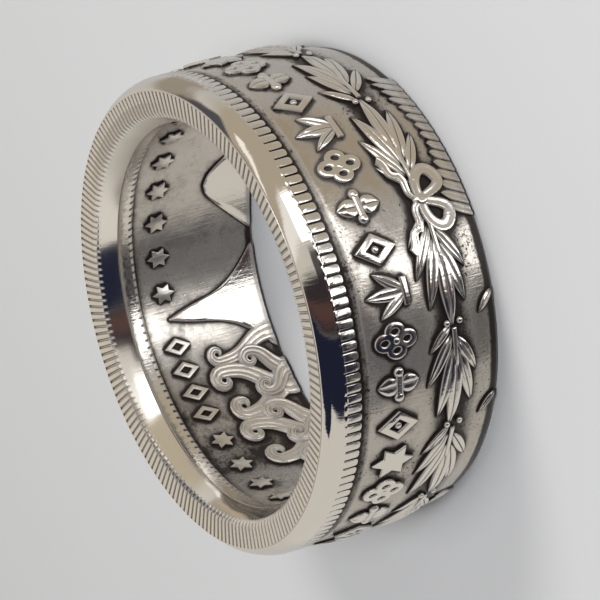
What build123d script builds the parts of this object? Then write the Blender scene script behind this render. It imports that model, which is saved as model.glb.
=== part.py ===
from build123d import *
import math
import os

# A wide finger ring made from a large silver coin: the centre is punched out and the rest
# is folded down into a band. The coin's milled edge becomes one end face of the band, its
# two faces become the outside and the inside, and the punched edge becomes the other end.
# The ring lies on its punched end. +Z is the ring's axis, up towards the milled face.
# Lengths are millimetres and angles are degrees, counted from +X towards +Y.

os.makedirs("parts", exist_ok=True)

# Radii of the band
ring_width = 10.6
bore_r = 10.62
milled_face_outer_r = 12.4
milled_face_inner_r = 11.0
rim_end_r = 13.03
rim_swell = 0.14
dentil_top_r = 13.12
dentil_groove_r = 12.86
field_top_r = 12.95
field_belly_r = 13.09
field_waist_r = 12.86
field_foot_r = 12.70
inner_dentil_end_r = 10.8
inner_field_top_r = 10.98
inner_field_foot_r = 11.26

# Depths, measured down from the milled face, and the bevels of the two ends
rim_bevel = 0.12
rim_swell_depth = 0.52
rim_depth = 1.15
dentil_end_depth = 1.96
dentil_groove_depth = 2.06
field_top_depth = 2.25
belly_depth = 5.65
waist_depth = 9.15
foot_bevel = 0.25
foot_bevel_run = 0.2
face_chamfer = 0.25
roll_end_depth = 1.3
roll_line_width = 0.08
roll_line_cut = 0.07
bore_band_end_depth = 2.1
inner_dentil_end_depth = 2.42
inner_field_top_depth = 2.5

# Milled edge and dentils
reed_count = 189
reed_groove = 0.18
reed_cut = 0.15
reed_end_wall = 0.03
dentil_count = 150
dentil_gap = 0.22
dentil_lead = 0.05
dentil_floor = 0.03

# Relief on the outside
relief = 0.22
relief_root = 0.3
row_depth = 4.1
row_height = 2.35
row_slots = 36
row_star_every = 12
row_star_angle = -136.0
row_lozenge_width = 1.46
star_height = 2.45
star_width = 1.75
star_waist = 0.56
wreath_depth = 7.6
knot_angle = -78.0
spray_pitch = 24.5
spray_count = 7
spray_lead = 4.9
spray_length = 5.4
stem_length = 1.62
stem_middle = 0.65
stem_width = 0.27
stem_rise = 0.18
berry_r = 0.19
berry_rise = 0.2
berry_spread = 0.38
berry_lead = 1.5
bow_width = 3.1
bow_height = 1.3
bow_ribbon = 0.42
bow_tail = 1.1
bow_tie_width = 0.8
bow_tie_height = 1.75
bow_tie_rise = 0.25
petal_height = 1.35
petal_width = 0.5
petal_lean = 0.42
petal_shoulder = 0.6
petal_rise = 0.18
petal_pitch = 2.7
petal_row_count = 15
petal_row_angles = (-64.0, 56.0, 176.0)
edge_leaf_length = 1.5
edge_leaf_width = 0.42
edge_leaf_tilt = 52.0
edge_leaf_angles = (-126.0, -101.0, -6.0, 19.0, 114.0, 139.0)

# Relief on the inside; a run is its first angle, its last and how many it has
inner_relief = 0.17
cutter_reach = 4.0
inner_row_depth = 4.05
inner_star_height = 1.5
inner_star_width = 1.05
inner_star_runs = ((23.0, 79.0, 6), (128.5, 372.0, 23))
lozenge_run = (95.5, 118.0, 4)
lozenge_height = 1.75
lozenge_width = 1.05
lozenge_hole = 0.42
shield_height = 6.5
shield_half_width = 3.3
lock_r = 0.6
lock_outer = 1.4
lock_eye = 0.45

# Half the outline of a leaf, as shares of its length and of half its width
leaf_side = [
    {"along": 0.00, "out": 0.3},
    {"along": 0.35, "out": 1.0},
    {"along": 0.75, "out": 0.6},
]

# Each leaf of the palmette, as shares of its height: where it starts, its length and width.
# Lean is in degrees from upright.
palmette_leaves = [
    {"x": 0.00, "y": -0.42, "length": 0.92, "width": 0.26, "lean": 0.0},
    {"x": 0.03, "y": -0.40, "length": 0.78, "width": 0.20, "lean": -24.0},
    {"x": -0.03, "y": -0.40, "length": 0.78, "width": 0.20, "lean": 24.0},
]
palmette_bar = {"y": -0.45, "width": 0.52, "height": 0.10}

# The double leaf and the quatrefoil, as shares of their height
double_leaf_shape = {"leaf_length": 0.50, "leaf_width": 0.34, "bar_width": 0.50, "bar_height": 0.09}
quatrefoil_heart = {"width": 0.20, "height": 0.50}
quatrefoil_lobes = [
    {"x": 0.00, "y": 0.29, "r": 0.19},
    {"x": 0.00, "y": -0.29, "r": 0.19},
    {"x": 0.17, "y": 0.00, "r": 0.19},
    {"x": -0.17, "y": 0.00, "r": 0.19},
]

# Each leaf of a spray, as shares of the spray's length: where it leaves the stem, how far
# it stands off the stem there, its length and width. Tilt is in degrees away from the stem.
spray_leaves = [
    {"start": 0.24, "off": 0.00, "length": 0.74, "width": 0.135, "tilt": 4.0},
    {"start": 0.16, "off": 0.03, "length": 0.62, "width": 0.115, "tilt": 21.0},
    {"start": 0.04, "off": 0.03, "length": 0.46, "width": 0.095, "tilt": 38.0},
    {"start": 0.20, "off": -0.03, "length": 0.58, "width": 0.115, "tilt": -17.0},
    {"start": 0.06, "off": -0.03, "length": 0.42, "width": 0.095, "tilt": -33.0},
]

# The pieces of the bow on one side: loops and tails, placed as shares of its width along the
# wreath and of its height up from the knot. Tilt is in degrees.
bow_pieces = [
    {"kind": "loop", "along": 0.24, "up": -0.95, "tilt": 0.0},
    {"kind": "tail", "along": 0.33, "up": 0.68, "tilt": 35.0},
    {"kind": "tail", "along": 0.62, "up": 0.97, "tilt": 60.0},
]

# Half the outline of the two shields inside, as shares of half their width and of their height
pointed_side = [
    {"out": 1.00, "up": 0.00},
    {"out": 0.72, "up": 0.12},
    {"out": 0.42, "up": 0.30},
    {"out": 0.19, "up": 0.62},
]
round_side = [
    {"out": 1.00, "up": 0.00},
    {"out": 0.75, "up": 0.30},
    {"out": 0.50, "up": 0.60},
    {"out": 0.27, "up": 0.85},
]

# The shields, as shares of shield_height and shield_half_width
shield_table = [
    {"angle": 87.0, "height": 1.0, "half_width": 1.0, "side": pointed_side},
    {"angle": 48.0, "height": 0.52, "half_width": 1.09, "side": round_side},
]

# The locks of the scroll inside: the angle of the head and its height as a share of ring_width,
# its size as a share of lock_r, the side its stem joins on, and the angle of its foot.
lock_table = [
    {"angle": 101.0, "height": 0.41, "size": 0.77, "turn": -1, "foot": 98.0},
    {"angle": 109.5, "height": 0.42, "size": 0.97, "turn": 1, "foot": 116.0},
    {"angle": 119.0, "height": 0.39, "size": 1.03, "turn": -1, "foot": 115.0},
    {"angle": 129.0, "height": 0.42, "size": 1.00, "turn": 1, "foot": 136.0},
    {"angle": 139.0, "height": 0.38, "size": 1.03, "turn": -1, "foot": 135.0},
    {"angle": 105.0, "height": 0.23, "size": 0.80, "turn": 1, "foot": 110.0},
    {"angle": 114.5, "height": 0.20, "size": 0.83, "turn": -1, "foot": 111.0},
    {"angle": 124.0, "height": 0.24, "size": 0.90, "turn": 1, "foot": 130.0},
    {"angle": 134.0, "height": 0.20, "size": 0.83, "turn": -1, "foot": 130.5},
    {"angle": 144.5, "height": 0.23, "size": 0.90, "turn": 1, "foot": 150.0},
]


def height_at(depth):
    """Height above the punched end of a place this far below the milled face."""
    return ring_width - depth


def between(depth, stations):
    """Radius at a depth on straight runs between (depth, radius) stations."""
    for (low, low_r), (high, high_r) in zip(stations, stations[1:]):
        if depth <= high:
            return low_r + (depth - low) / (high - low) * (high_r - low_r)
    return stations[-1][1]


def field_stations():
    """The outside field, which swells slightly between the dentils and the punched end."""
    return [
        (field_top_depth, field_top_r),
        (belly_depth, field_belly_r),
        (waist_depth, field_waist_r),
        (ring_width - foot_bevel, field_foot_r),
    ]


def field_radius(depth):
    return between(depth, field_stations())


def inner_radius(depth):
    foot_depth = ring_width - foot_bevel
    return between(depth, [(inner_field_top_depth, inner_field_top_r), (foot_depth, inner_field_foot_r)])


def turned(length, radius):
    """The angle that a length takes up round a radius."""
    return math.degrees(length / radius)


def wall_plane(angle, depth, radius):
    """Plane on the wall: x runs round the ring, y up the axis, z straight out."""
    a = math.radians(angle)
    out = (math.cos(a), math.sin(a), 0)
    return Plane(
        origin=(radius * out[0], radius * out[1], height_at(depth)),
        x_dir=(-out[1], out[0], 0),
        z_dir=out,
    )


def radial_prism(sketch, angle, depth, low_r, high_r):
    """A flat shape pushed out along the radius from low_r to high_r."""
    plane = wall_plane(angle, depth, low_r)
    return extrude(plane * sketch, amount=high_r - low_r, dir=plane.z_dir)


def outer_relief(sketch, angle, depth, rise=relief):
    radius = field_radius(depth)
    return radial_prism(sketch, angle, depth, radius - relief_root, radius + rise)


def inner_relief_body(sketch, angle, depth):
    radius = inner_radius(depth)
    return radial_prism(sketch, angle, depth, radius - inner_relief, radius + relief_root)


def through_wall(sketch, angle, depth):
    """A flat shape pushed out from well inside the bore to well outside the wall."""
    return radial_prism(sketch, angle, depth, bore_r - cutter_reach, inner_field_foot_r + cutter_reach)


def flat_polygon(points):
    return make_face(Polyline(*points, close=True))


def star(width, height):
    """A six-pointed star with hollow sides, narrower than it is tall."""
    corner = math.cos(math.radians(30))
    points = []
    for i in range(12):
        reach = 0.5 if i % 2 == 0 else 0.5 * star_waist
        a = math.radians(90 + 30 * i)
        points.append((width * reach * math.cos(a) / corner, height * reach * math.sin(a)))
    return flat_polygon(points)


def leaf(length, width):
    """A pointed leaf along +x, widest a little before its middle."""
    side = [(row["along"] * length, row["out"] * width / 2) for row in leaf_side]
    return flat_polygon([(x, -y) for x, y in side] + [(length, 0)] + side[::-1])


def palmette(height):
    """Three upright leaves on a short foot bar."""
    bar = palmette_bar
    shape = Location((0, bar["y"] * height)) * Rectangle(bar["width"] * height, bar["height"] * height)
    for row in palmette_leaves:
        blade = leaf(row["length"] * height, row["width"] * height)
        shape += Location((row["x"] * height, row["y"] * height), 90 + row["lean"]) * blade
    return shape


def lozenge(height, width):
    """An upright open lozenge."""
    def outline(share):
        return flat_polygon([(0, share * height / 2), (-share * width / 2, 0), (0, -share * height / 2),
                             (share * width / 2, 0)])
    return outline(1) - outline(lozenge_hole)


def double_leaf(height):
    """Two leaves that grow up and down from a bar."""
    share = double_leaf_shape
    blade = leaf(share["leaf_length"] * height, share["leaf_width"] * height)
    shape = Rectangle(share["bar_width"] * height, share["bar_height"] * height)
    return shape + Rot(0, 0, 90) * blade + Rot(0, 0, -90) * blade


def quatrefoil(height):
    """Four round lobes about a middle, taller than wide."""
    shape = Rectangle(quatrefoil_heart["width"] * height, quatrefoil_heart["height"] * height)
    for row in quatrefoil_lobes:
        shape += Location((row["x"] * height, row["y"] * height)) * RegularPolygon(row["r"] * height, 6)
    return shape


def outer_row_bodies():
    """Stars and ornaments in a row round the outside."""
    ornaments = [palmette(row_height), lozenge(row_height, row_lozenge_width), double_leaf(row_height),
                 quatrefoil(row_height)]
    bodies = []
    for slot in range(row_slots):
        angle = row_star_angle + 360 / row_slots * slot
        shape = ornaments[slot % len(ornaments)]
        if slot % row_star_every == 0:
            shape = star(star_width, star_height)
        bodies.append(outer_relief(shape, angle, row_depth))
    return bodies


def spray_bodies(start_angle, turn):
    """One spray of leaves on its stem that grows away from the knot, turn being +1 or -1."""
    wreath_r = field_radius(wreath_depth)
    stem_angle = start_angle + turn * turned(stem_middle, wreath_r)
    bodies = [outer_relief(Rectangle(stem_length, stem_width), stem_angle, wreath_depth, stem_rise)]
    for row in spray_leaves:
        length = row["length"] * spray_length
        tilt = math.radians(row["tilt"])
        along = row["start"] * spray_length + 0.5 * length * math.cos(tilt)
        up = row["off"] * spray_length + 0.5 * length * math.sin(tilt)
        blade = Location((-0.5 * length, 0)) * leaf(length, row["width"] * spray_length)
        shape = Rot(0, 0, row["tilt"]) * blade
        if turn < 0:
            shape = mirror(shape, about=Plane.YZ)
        bodies.append(outer_relief(shape, start_angle + turn * turned(along, wreath_r), wreath_depth - up))
    return bodies


def wreath_bodies():
    """Two rows of sprays that start at the knot and meet at the far side, with berries between them."""
    bodies = []
    berry = RegularPolygon(berry_r, 6)
    for turn in (1, -1):
        for i in range(spray_count):
            start = knot_angle + turn * (spray_lead + spray_pitch * i)
            bodies += spray_bodies(start, turn)
            if i > 0:
                bodies += [outer_relief(berry, start - turn * berry_lead, wreath_depth + place, berry_rise)
                           for place in (berry_spread, -berry_spread)]
    return bodies


def eight_sided(width, height):
    """An oval with eight sides, as wide and as tall as given."""
    points = []
    for i in range(8):
        a = math.radians(45 * (i + 0.5))
        reach = 0.5 / math.cos(math.radians(22.5))
        points.append((reach * width * math.cos(a), reach * height * math.sin(a)))
    return flat_polygon(points)


def bow_bodies():
    """The ribbon: a tie, two loops below it and two tails on each side above it."""
    hole_width = bow_width / 2 - 1.2 * bow_ribbon
    hole_height = bow_height - 1.2 * bow_ribbon
    shapes = {
        "loop": eight_sided(bow_width / 2, bow_height) - eight_sided(hole_width, hole_height),
        "tail": Rectangle(bow_tail, bow_ribbon),
    }
    bodies = [outer_relief(Rectangle(bow_tie_width, bow_tie_height), knot_angle, wreath_depth, bow_tie_rise)]
    for side in (1, -1):
        for row in bow_pieces:
            shape = Rot(0, 0, side * row["tilt"]) * shapes[row["kind"]]
            angle = knot_angle + side * turned(row["along"] * bow_width, field_radius(wreath_depth))
            bodies.append(outer_relief(shape, angle, wreath_depth - row["up"] * bow_height))
    return bodies


def petal(height):
    """A narrow petal that leans as it rises and ends in a point."""
    half = petal_width / 2
    shoulder = petal_shoulder * height
    shift = petal_lean * shoulder
    return flat_polygon([(-half, 0), (half, 0), (half + shift, shoulder), (petal_lean * height, height),
                         (shift - half, shoulder)])


def petal_bodies():
    """Rows of leaning petals that stand up from the punched end, and single leaf tips."""
    depth = ring_width - foot_bevel
    bodies = []
    for i in range(petal_row_count):
        height = petal_height * (0.8 + 0.2 * math.cos(2 * math.pi * i / (petal_row_count - 1)))
        shape = petal(height)
        place = petal_pitch * (i - (petal_row_count - 1) / 2)
        bodies += [outer_relief(shape, centre + place, depth, petal_rise) for centre in petal_row_angles]
    tip = Rot(0, 0, 180 - edge_leaf_tilt) * leaf(edge_leaf_length, edge_leaf_width)
    return bodies + [outer_relief(tip, angle, depth, petal_rise) for angle in edge_leaf_angles]


def run_angles(first, last, count):
    return [first + (last - first) * i / (count - 1) for i in range(count)]


def inner_row_bodies():
    """Stars and open lozenges in a row round the inside."""
    star_shape = star(inner_star_width, inner_star_height)
    lozenge_shape = lozenge(lozenge_height, lozenge_width)
    bodies = []
    for run in inner_star_runs:
        bodies += [inner_relief_body(star_shape, angle, inner_row_depth) for angle in run_angles(*run)]
    bodies += [inner_relief_body(lozenge_shape, angle, inner_row_depth) for angle in run_angles(*lozenge_run)]
    return bodies


def inner_shell():
    """The layer inside the wall that the wide inside relief is cut from."""
    low = foot_bevel
    high = height_at(inner_field_top_depth)
    section = flat_polygon([
        (inner_field_foot_r - inner_relief, low),
        (inner_field_foot_r + relief_root, low),
        (inner_field_top_r + relief_root, high),
        (inner_field_top_r - inner_relief, high),
    ])
    return revolve(Plane.XZ * section, Axis.Z, 360)


def shield_bodies():
    """Smooth shields that rise from the punched end, pushed through the whole wall."""
    bodies = []
    for row in shield_table:
        height = row["height"] * shield_height
        half = row["half_width"] * shield_half_width
        side = [(point["out"] * half, point["up"] * height) for point in row["side"]]
        shape = flat_polygon(side + [(0, height)] + [(-x, y) for x, y in side[::-1]])
        bodies.append(through_wall(shape, row["angle"], ring_width))
    return bodies


def lock_bodies():
    """The locks of the scroll, each an open eye on a stem, pushed through the whole wall."""
    bodies = []
    for row in lock_table:
        size = row["size"] * lock_r
        height = row["height"] * ring_width
        head_x = -row["turn"] * size
        foot_x = math.radians(row["foot"] - row["angle"]) * inner_field_foot_r
        stem = flat_polygon([(head_x - size / 2, 0), (head_x + size / 2, 0), (foot_x + size, -height),
                             (foot_x - size, -height)])
        head = RegularPolygon(lock_outer * size, 8) - RegularPolygon(lock_eye * size, 8)
        bodies.append(through_wall(stem + head, row["angle"], height_at(height)))
    return bodies


def band_body():
    """The plain band, spun about the axis."""
    top = ring_width
    rim_middle = (0.5 * (milled_face_outer_r + rim_end_r) + rim_swell, height_at(rim_swell_depth))
    roll_start = (milled_face_inner_r - face_chamfer, top - face_chamfer)
    roll_end = (bore_r + roll_line_cut / 2, height_at(roll_end_depth))
    line_low = height_at(roll_end_depth + roll_line_width)
    with BuildSketch(Plane.XZ) as section:
        with BuildLine():
            Line((milled_face_inner_r, top), (milled_face_outer_r, top))
            Line((milled_face_outer_r, top), (milled_face_outer_r + rim_bevel, top - rim_bevel))
            ThreePointArc((milled_face_outer_r + rim_bevel, top - rim_bevel), rim_middle,
                          (rim_end_r, height_at(rim_depth)))
            Polyline((rim_end_r, height_at(rim_depth)), (dentil_top_r, height_at(dentil_end_depth)),
                     (dentil_groove_r, height_at(dentil_groove_depth)),
                     *[(radius, height_at(depth)) for depth, radius in field_stations()],
                     (field_foot_r - foot_bevel_run, 0), (inner_field_foot_r + foot_bevel_run, 0),
                     (inner_field_foot_r, foot_bevel), (inner_field_top_r, height_at(inner_field_top_depth)),
                     (inner_dentil_end_r, height_at(inner_dentil_end_depth)),
                     (bore_r, height_at(bore_band_end_depth)), (bore_r, line_low),
                     (bore_r + roll_line_cut, 0.5 * (line_low + roll_end[1])), roll_end)
            ThreePointArc(roll_end, (bore_r, 0.5 * (roll_start[1] + roll_end[1])), roll_start)
            Line(roll_start, (milled_face_inner_r, top))
        make_face()
    return revolve(section.sketch, Axis.Z, 360)


def groove_section(width, depth):
    """A V with its mouth on the x axis and its point below, carried on above the mouth."""
    clear = 0.5 * depth
    half = 0.5 * width * (depth + clear) / depth
    return flat_polygon([(-half, clear), (0, -depth), (half, clear)])


def reed_cutters():
    """The grooves of the milled face, which run out on its inner chamfer."""
    outer_end = milled_face_outer_r - reed_end_wall
    plane = Plane(origin=(outer_end, 0, ring_width), x_dir=(0, 1, 0), z_dir=(1, 0, 0))
    cutter = extrude(plane * groove_section(reed_groove, reed_cut), amount=bore_r - outer_end)
    return [Rot(0, 0, 360 * i / reed_count) * cutter for i in range(reed_count)]


def dentil_cutters():
    """The gaps between the dentils, upright grooves below the rim."""
    plane = Plane(origin=(dentil_top_r, 0, height_at(field_top_depth)), x_dir=(0, -1, 0), z_dir=(0, 0, 1))
    depth = dentil_top_r - dentil_groove_r - dentil_floor
    height = field_top_depth - rim_depth - dentil_lead
    cutter = extrude(plane * groove_section(dentil_gap, depth), amount=height)
    return [Rot(0, 0, 360 * i / dentil_count) * cutter for i in range(dentil_count)]


def ring_band():
    """The whole ring, one piece of silver."""
    layer = inner_shell()
    shields = [solid for body in shield_bodies() for solid in (body & layer).solids()]
    locks = lock_bodies()
    scroll = (locks[0].fuse(*locks[1:]) & layer).solids()
    raised = outer_row_bodies() + wreath_bodies() + bow_bodies() + petal_bodies() + inner_row_bodies()
    ring = band_body().fuse(*raised, *shields, *scroll)
    return ring.cut(*reed_cutters(), *dentil_cutters())


ring = ring_band()
print("ring_band volume", round(ring.volume, 1), "mm3, solids", len(ring.solids()))
export_step(ring, "parts/ring_band.step")
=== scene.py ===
import math
import random
from types import SimpleNamespace

import bmesh
import bpy
from mathutils import Matrix, Quaternion, Vector


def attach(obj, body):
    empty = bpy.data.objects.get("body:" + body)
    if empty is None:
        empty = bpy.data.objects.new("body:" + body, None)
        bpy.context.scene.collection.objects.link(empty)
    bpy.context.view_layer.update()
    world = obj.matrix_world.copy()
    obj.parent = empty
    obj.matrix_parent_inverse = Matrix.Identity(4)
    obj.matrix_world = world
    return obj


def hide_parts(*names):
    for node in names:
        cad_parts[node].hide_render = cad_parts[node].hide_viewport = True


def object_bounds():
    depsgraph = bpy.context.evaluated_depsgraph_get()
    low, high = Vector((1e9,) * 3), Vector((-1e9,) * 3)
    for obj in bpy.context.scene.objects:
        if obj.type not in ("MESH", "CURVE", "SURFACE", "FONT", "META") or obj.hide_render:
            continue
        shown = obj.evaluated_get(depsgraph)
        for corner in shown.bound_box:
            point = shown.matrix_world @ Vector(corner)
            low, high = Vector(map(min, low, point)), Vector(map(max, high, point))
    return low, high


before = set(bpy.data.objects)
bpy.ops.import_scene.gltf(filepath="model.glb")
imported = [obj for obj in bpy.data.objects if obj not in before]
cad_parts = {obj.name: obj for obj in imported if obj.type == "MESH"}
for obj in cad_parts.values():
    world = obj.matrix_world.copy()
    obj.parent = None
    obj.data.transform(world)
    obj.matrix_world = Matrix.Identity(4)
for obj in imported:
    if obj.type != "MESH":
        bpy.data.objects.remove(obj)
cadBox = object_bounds()
random.seed(21)
mm = 0.001

# The band, in mm. Depths are measured down from the milled face
bandShape = {
    "width": cadBox[1].z / mm,
    "boreR": 10.54,
    "faceOuterR": 12.38,
    "faceInnerR": 11.0,
    # drop of the milled face per mm inwards
    "faceSlope": 0.12,
    "rimR": 13.03,
    "rimDepth": 1.13,
    "dentilFloorR": 12.90,
    "fieldStations": ((2.25, 12.95), (5.65, 13.09), (10.35, 12.70)),
    "innerStations": ((2.5, 10.98), (10.35, 11.26)),
    "footBevel": 0.25,
    "footInset": 0.22,
    "footBulge": 0.04,
    # sharp step at the outer edge of the milled face: (out from faceOuterR, depth)
    "faceEdge": ((0.0, 0.0), (0.01, 0.04), (0.06, 0.05)),
    "rimStart": (0.08, 0.065),
    "rimBulge": 0.13,
    # floor that the dentils stand on: (out from dentilFloorR, depth)
    "dentilFloor": ((0.0, 1.2), (-0.02, 2.0), (0.01, 2.1)),
    "fieldTop": 2.22,
    "innerTop": 2.56,
    # foot of the inner dentils, the smooth band and its lip: (out from boreR, depth)
    "boreEdge": ((0.16, 2.36), (0.05, 2.24), (0.0, 2.1), (-0.04, 1.46), (-0.03, 1.40), (0.02, 1.37),
                 (-0.01, 1.34)),
    # the rounding inside the milled face: where it starts (out from boreR, depth), where it meets
    # the face's eased edge (out from faceInnerR, depth), how wide that edge is, and their bulge
    "rollStart": (-0.04, 1.32),
    "rollEnd": (-0.07, 0.35),
    "faceEase": 0.25,
    "rollBulge": 0.03,
    "spinSteps": 240,
}


def quadraticThrough(stations):
    # a + b*d + c*d*d through three (d, r) pairs
    (d0, r0), (d1, r1), (d2, r2) = stations
    c = ((r2 - r0) / (d2 - d0) - (r1 - r0) / (d1 - d0)) / (d2 - d1)
    b = (r1 - r0) / (d1 - d0) - c * (d0 + d1)
    return r0 - b * d0 - c * d0 * d0, b, c


def lineThrough(stations):
    (d0, r0), (d1, r1) = stations
    slope = (r1 - r0) / (d1 - d0)
    return r0 - slope * d0, slope


def between(value, table):
    # straight runs between (value, result) pairs
    for (low, first), (high, second) in zip(table, table[1:]):
        if value <= high:
            return first + (value - low) / (high - low) * (second - first)
    return table[-1][1]


def evenly(first, last, steps):
    return [first + (last - first) * i / steps for i in range(steps + 1)]


fieldCurve = quadraticThrough(bandShape["fieldStations"])
innerLine = lineThrough(bandShape["innerStations"])


def fieldRadius(depth):
    return fieldCurve[0] + fieldCurve[1] * depth + fieldCurve[2] * depth * depth


def innerRadius(depth):
    return innerLine[0] + innerLine[1] * depth


def onOutside(verts, angle, depth):
    # a flat shape (x round the ring, y up, z out of the wall, mm) is laid on the outside wall
    for v in verts:
        d = depth - v.co.y
        a = math.radians(angle) + v.co.x / fieldRadius(depth)
        r = fieldRadius(d) + v.co.z
        v.co = Vector((r * math.cos(a), r * math.sin(a), bandShape["width"] - d)) * mm


def onInside(verts, angle, depth):
    # the same on the inside wall, seen from the axis
    for v in verts:
        d = depth - v.co.y
        a = math.radians(angle) - v.co.x / innerRadius(depth)
        r = innerRadius(d) - v.co.z
        v.co = Vector((r * math.cos(a), r * math.sin(a), bandShape["width"] - d)) * mm


def meshOf(bm, name):
    mesh = bpy.data.meshes.new(name)
    bm.to_mesh(mesh)
    bm.free()
    return mesh


def closedMesh(bm, name):
    bmesh.ops.recalc_face_normals(bm, faces=bm.faces)
    return meshOf(bm, name)


def objectOf(mesh, name):
    thing = bpy.data.objects.new(name, mesh)
    bpy.context.scene.collection.objects.link(thing)
    return thing


def booleaned(base, others, operation):
    # joins, or cuts away, each mesh of others in turn and gives the finished mesh
    thing = objectOf(base, "blank")
    tools = [objectOf(mesh, "tool") for mesh in others]
    for tool in tools:
        step = thing.modifiers.new("step", "BOOLEAN")
        step.operation = operation
        step.solver = "MANIFOLD"
        step.object = tool
    done = bpy.data.meshes.new_from_object(thing.evaluated_get(bpy.context.evaluated_depsgraph_get()))
    for old in [thing] + tools:
        bpy.data.objects.remove(old)
    return done


def addedTo(bm, mesh):
    # adds a mesh to bm and gives its vertices
    start = len(bm.verts)
    bm.from_mesh(mesh)
    bm.verts.ensure_lookup_table()
    return bm.verts[start:]


def scattered(template, places, lay):
    # copies of a flat template, each placed by lay(verts, angle, depth), in one mesh
    bm = bmesh.new()
    for angle, depth in places:
        lay(addedTo(bm, template), angle, depth)
    return meshOf(bm, template.name + "Row")


def slabFrom(bm, low, high):
    # thickens the flat faces in bm into a closed slab from low to high
    bmesh.ops.recalc_face_normals(bm, faces=bm.faces)
    grown = bmesh.ops.extrude_face_region(bm, geom=bm.faces[:])
    top = set(g for g in grown["geom"] if isinstance(g, bmesh.types.BMVert))
    for v in bm.verts:
        v.co.z = high if v in top else low
    bmesh.ops.recalc_face_normals(bm, faces=bm.faces)


def bevelRim(bm, height, offset, segments=2):
    # rounds the edges that lie round the top of a slab
    rim = []
    for e in bm.edges:
        flat = all(abs(v.co.z - height) < 1e-5 for v in e.verts)
        walls = [f for f in e.link_faces if abs(f.normal.z) < 0.9]
        if flat and walls:
            rim.append(e)
    bmesh.ops.bevel(bm, geom=rim, offset=offset, segments=segments, profile=0.5, affect="EDGES",
                    clamp_overlap=True, material=-1)


print("band")


def arcPoints(start, end, bulge, count):
    # points of a shallow arc from start to end, its middle pushed sideways by bulge
    (x0, y0), (x1, y1) = start, end
    length = math.hypot(x1 - x0, y1 - y0)
    nx, ny = (y1 - y0) / length, -(x1 - x0) / length
    points = []
    for i in range(count + 1):
        t = i / count
        lift = 4 * t * (1 - t) * bulge
        points.append((x0 + t * (x1 - x0) + nx * lift, y0 + t * (y1 - y0) + ny * lift))
    return points


def rollProfile():
    # (radius, depth) of the rounding inside the milled face, from the bore up to the face
    b = bandShape
    startOut, startDepth = b["rollStart"]
    endOut, endDepth = b["rollEnd"]
    end = (b["faceInnerR"] + endOut, endDepth)
    flat = b["faceInnerR"] + b["faceEase"]
    roll = arcPoints((b["boreR"] + startOut, startDepth), end, b["rollBulge"], 12)
    edge = arcPoints(end, (flat, b["faceSlope"] * (b["faceOuterR"] - flat)), b["rollBulge"], 8)
    return roll + edge[1:]


def bandProfile():
    # (radius, depth) round the section, from the milled face down the outside and up the inside
    b = bandShape
    width, outerR, rimR, rimDepth = b["width"], b["faceOuterR"], b["rimR"], b["rimDepth"]
    middleR = 12.0
    points = [(middleR, b["faceSlope"] * (outerR - middleR))]
    points += [(outerR + out, depth) for out, depth in b["faceEdge"]]
    out, depth = b["rimStart"]
    points += arcPoints((outerR + out, depth), (rimR, rimDepth), b["rimBulge"], 14)
    points += [(rimR - 0.03, rimDepth + 0.03)]
    points += [(b["dentilFloorR"] + out, depth) for out, depth in b["dentilFloor"]]
    foot = width - b["footBevel"]
    outFoot, inFoot = fieldRadius(foot), innerRadius(foot)
    points += [(fieldRadius(d), d) for d in evenly(b["fieldTop"], foot, 16)]
    points += arcPoints((outFoot - 0.01, foot + 0.03), (outFoot - b["footInset"], width), b["footBulge"], 4)
    points += [(inFoot + 0.5, width)]
    points += arcPoints((inFoot + 0.2, width), (inFoot, foot), b["footBulge"], 4)
    points += [(innerRadius(d), d) for d in evenly(foot, b["innerTop"], 8)[1:]]
    points += [(innerRadius(2.5) - 0.03, 2.48)]
    points += [(b["boreR"] + out, depth) for out, depth in b["boreEdge"]]
    return points + rollProfile()


def bandMesh():
    bm = bmesh.new()
    w = bandShape["width"]
    rim = [bm.verts.new((r * mm, 0, (w - d) * mm)) for r, d in bandProfile()]
    for a, b in zip(rim, rim[1:] + rim[:1]):
        bm.edges.new((a, b))
    bmesh.ops.spin(bm, geom=bm.verts[:] + bm.edges[:], cent=(0, 0, 0), axis=(0, 0, 1), angle=2 * math.pi,
                   steps=bandShape["spinSteps"], use_merge=True, use_duplicate=False)
    bmesh.ops.remove_doubles(bm, verts=bm.verts, dist=1e-7)
    return closedMesh(bm, "band")


# The milled edge and the dentils, in mm
edgeWork = {
    "reedCount": 189,
    "reedMouth": 0.155,
    "reedFloor": 0.065,
    "reedDepth": 0.07,
    # places along a reed, out from faceInnerR, and how it deepens over them
    "reedStations": (-0.12, -0.08, -0.03, 0.03, 0.1, 0.2, 0.5),
    "reedFirst": 0.1,
    "reedDeepens": 0.3,
    # a reed's cutter stands this far above the metal and is this much wider than the mouth there
    "reedClear": 0.1,
    "reedFlare": 2.2,
    "dentilCount": 150,
    "dentilWidth": 0.44,
    "dentilTop": 1.0,
    "dentilEnd": 1.98,
    "dentilHigh": 0.19,
    "dentilRoot": 0.08,
    "dentilRise": 0.03,
    "dentilEase": 0.045,
    # radius of the corners at a dentil's end, as a share of half its width
    "dentilCorner": 0.7,
    # the gap between two inner dentils: its width on both sides of the wall, and where it ends
    "notchInnerWidth": 0.24,
    "notchWallWidth": 0.09,
    "notchInnerR": 10.3,
    "notchTop": {"depth": 2.02, "wallR": 10.66},
    "notchFoot": {"depth": 2.6, "wallR": 10.95},
}


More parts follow.
